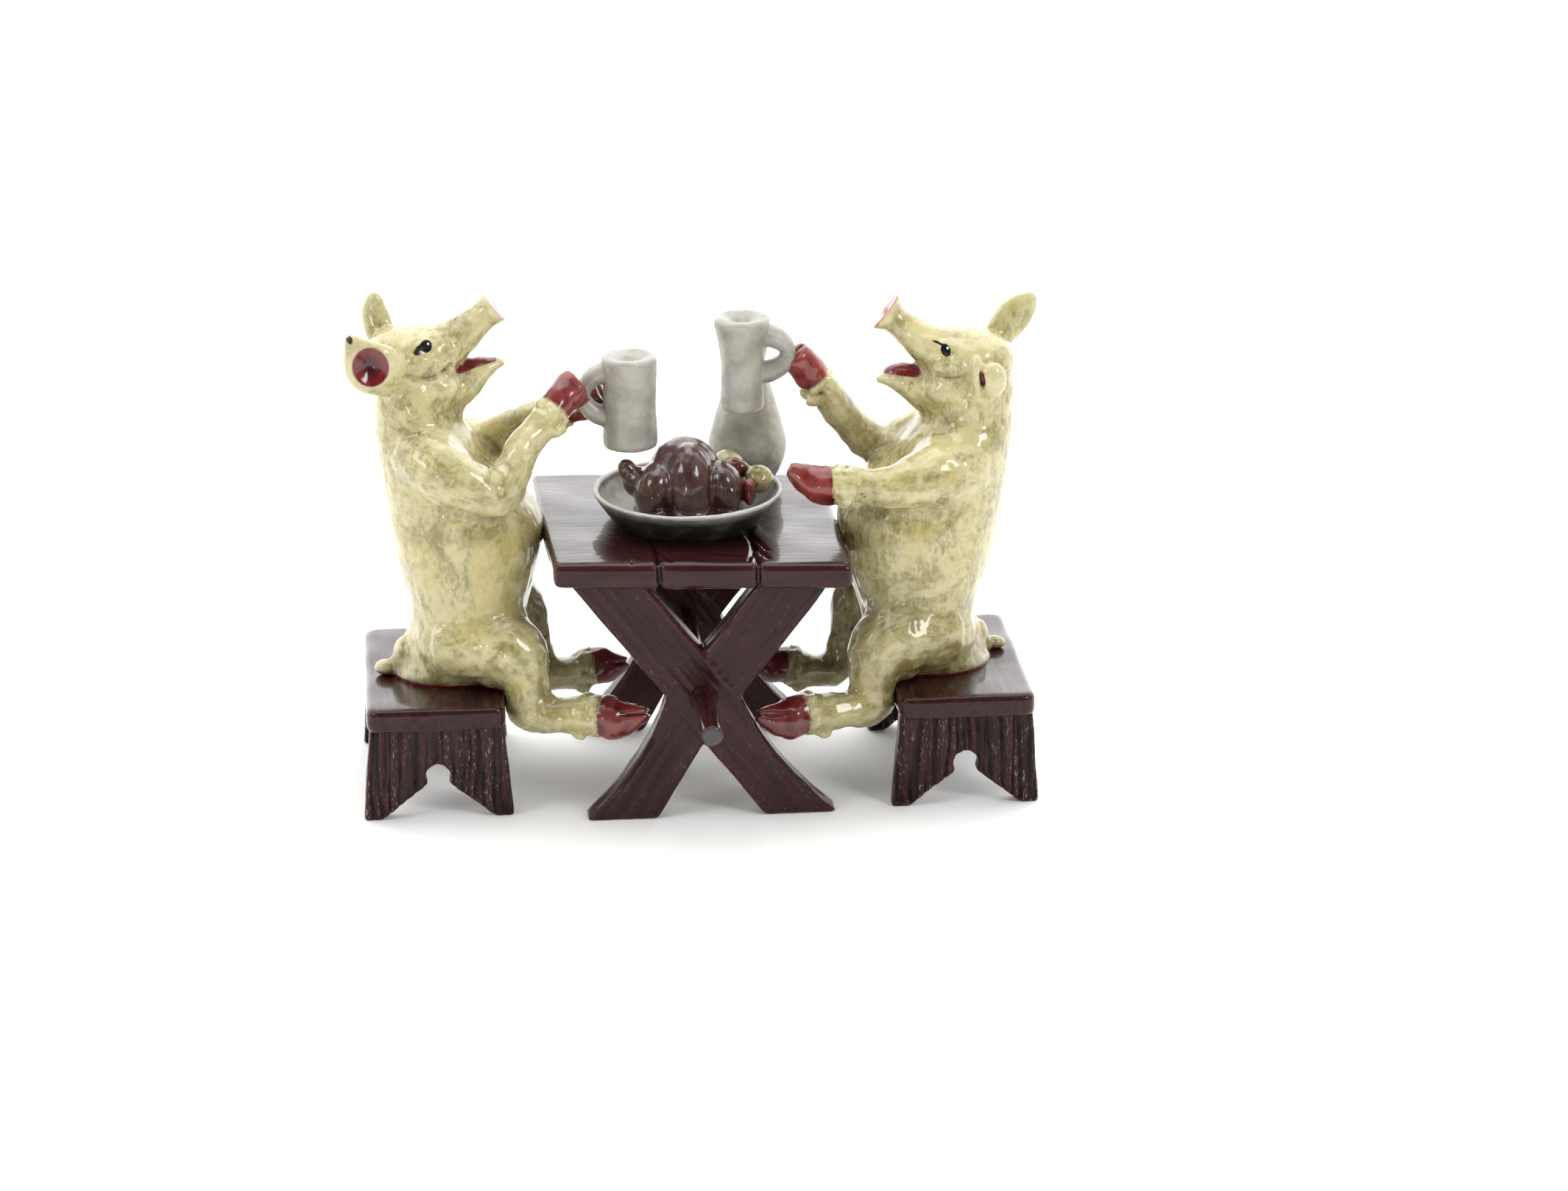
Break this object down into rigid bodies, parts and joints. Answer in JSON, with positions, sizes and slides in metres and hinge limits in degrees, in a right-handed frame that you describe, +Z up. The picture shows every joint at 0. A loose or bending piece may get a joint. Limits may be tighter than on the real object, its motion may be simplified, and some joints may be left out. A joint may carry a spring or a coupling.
{
  "type": "animal figurine",
  "caption": "Cold-painted bronze miniature of pigs seated on benches, holding tankards at a trestle table laid with a dish of roast and a jug.",
  "frame": {"origin": "on the floor, under the middle of the whole group's bounding box", "axes": "+X from the left pig to the right pig, +Z up, -Y towards the viewer"},
  "size_m": [0.0926, 0.062, 0.0677],
  "materials": {
    "wood_paint": "glossy dark maroon-brown paint with brushed wood grain",
    "pewter_paint": "satin pewter-grey paint, finely speckled",
    "bronze": "bare cast bronze",
    "roast_glaze": "glossy dark reddish-brown paint",
    "cream_paint": "glossy cream paint",
    "red_paint": "glossy crimson paint",
    "pig_paint": "lacquered pale cream over olive-gold, brushed, with crimson trotters and ear linings"
  },
  "bodies": {
    "root": {"table_top": "wood_paint", "front_trestle": "wood_paint", "back_trestle": "wood_paint", "stretcher_rod": "wood_paint", "left_bench_seat": "wood_paint", "left_bench_front_board": "wood_paint", "left_bench_back_board": "wood_paint", "right_bench_seat": "wood_paint", "right_bench_front_board": "wood_paint", "right_bench_back_board": "wood_paint", "serving_dish": "pewter_paint", "jug": "pewter_paint", "left_tankard": "pewter_paint", "right_tankard": "pewter_paint", "dish_pin": "bronze", "jug_pin": "bronze", "left_seat_stud": "bronze", "left_seat_nut": "bronze", "right_seat_stud": "bronze", "right_seat_nut": "bronze", "roast_bird": "roast_glaze", "back_dumpling": "cream_paint", "side_dumpling": "cream_paint", "back_fruit": "red_paint", "side_fruit": "red_paint", "left_pig_near_arm": "pig_paint", "left_pig_far_arm": "pig_paint", "left_pig_near_leg": "pig_paint", "left_pig_far_leg": "pig_paint", "left_pig_near_ear": "pig_paint", "left_pig_far_ear": "pig_paint", "left_pig_tail": "pig_paint", "left_pig_body": "pig_paint", "right_pig_near_arm": "pig_paint", "right_pig_far_arm": "pig_paint", "right_pig_near_leg": "pig_paint", "right_pig_far_leg": "pig_paint", "right_pig_near_ear": "pig_paint", "right_pig_far_ear": "pig_paint", "right_pig_tail": "pig_paint", "right_pig_body": "pig_paint"}
  },
  "joints": []
}
